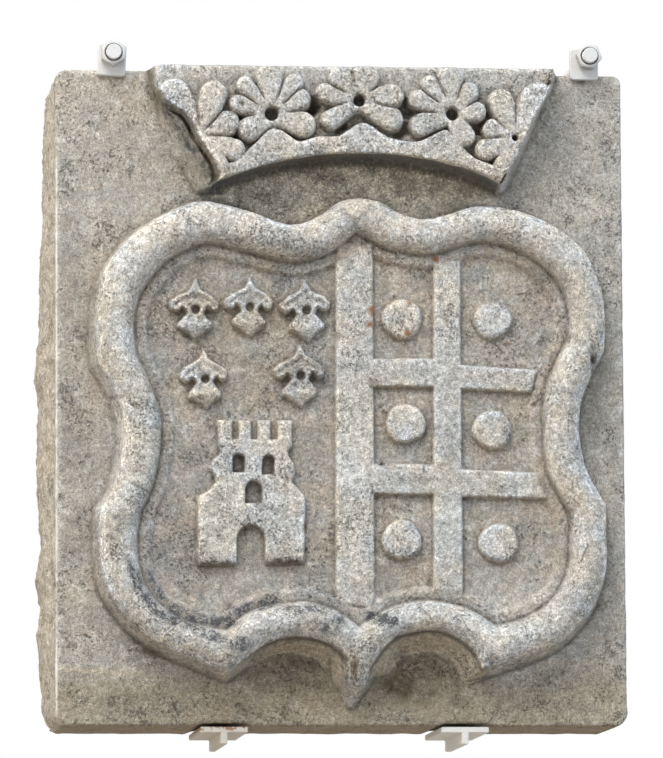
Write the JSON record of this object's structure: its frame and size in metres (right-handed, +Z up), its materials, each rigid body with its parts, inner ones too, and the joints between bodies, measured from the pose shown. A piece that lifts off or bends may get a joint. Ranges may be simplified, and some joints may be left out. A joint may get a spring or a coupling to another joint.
{
  "type": "armorial stone",
  "caption": "Carved stone relief block with a flowered crown over a scrolled shield, held to a wall by two threaded clips above and two steel ledge brackets below.",
  "frame": {"origin": "centre of the stone's flat back face, on the wall plane", "axes": "+Z up the stone, +X to the right of someone facing it, -Y out of the wall through the carved face"},
  "size_m": [0.6234, 0.2, 0.7393],
  "materials": {
    "stone": "weathered, granular",
    "painted_steel": "white paint with rust"
  },
  "bodies": {
    "root": {"armorial_stone": "stone", "left_clip_plate": "painted_steel", "left_clip_nut": "painted_steel", "left_clip_rod": "painted_steel", "right_clip_plate": "painted_steel", "right_clip_nut": "painted_steel", "right_clip_rod": "painted_steel", "left_ledge_bracket": "painted_steel", "right_ledge_bracket": "painted_steel"}
  },
  "joints": []
}
